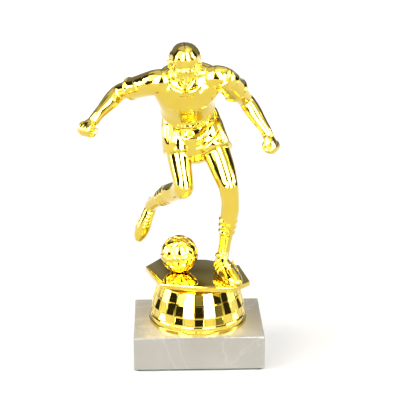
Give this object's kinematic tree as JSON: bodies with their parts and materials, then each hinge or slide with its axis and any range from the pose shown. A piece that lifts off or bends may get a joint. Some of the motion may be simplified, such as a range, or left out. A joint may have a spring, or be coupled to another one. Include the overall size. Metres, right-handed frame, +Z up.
{
  "type": "figure trophy",
  "caption": "Small gold football figure trophy: player and ball on a pointed plate, faceted round riser and marble block, clamped by one threaded rod.",
  "frame": {"origin": "centre of the underside of the felt, on the rod's axis", "axes": "+Z up along the rod, the player faces -Y, +X to the right seen from the front"},
  "size_m": [0.0896, 0.0563, 0.1511],
  "materials": {
    "marble": "polished, faint veins",
    "felt": "matt felt",
    "gold_riser": "vacuum metallised gold, mirror gloss",
    "gold_plate": "vacuum metallised gold, mirror gloss",
    "gold_figure": "vacuum metallised gold, gloss",
    "gold_ball": "vacuum metallised gold, gloss",
    "zinc_steel": "bright zinc",
    "spring_steel": "dark spring steel"
  },
  "bodies": {
    "base": {"marble_base": "marble", "base_felt": "felt"},
    "riser": {"riser_shell": "gold_riser"},
    "figure": {"figure_plate": "gold_plate", "figure_front_shell": "gold_figure", "figure_back_shell": "gold_figure", "ball_front_shell": "gold_ball", "ball_back_shell": "gold_ball", "threaded_rod": "zinc_steel", "plate_nut": "zinc_steel", "base_washer": "zinc_steel", "lock_washer": "spring_steel", "base_nut": "zinc_steel"}
  },
  "joints": [
    {"name": "riser_turn", "type": "hinge", "parent": "base", "child": "riser", "pos_m": [0, 0, 0.0166], "axis": [0, 0, 1], "continuous": true},
    {"name": "figure_turn", "type": "hinge", "parent": "base", "child": "figure", "pos_m": [0, 0, 0.0366], "axis": [0, 0, 1], "continuous": true}
  ]
}
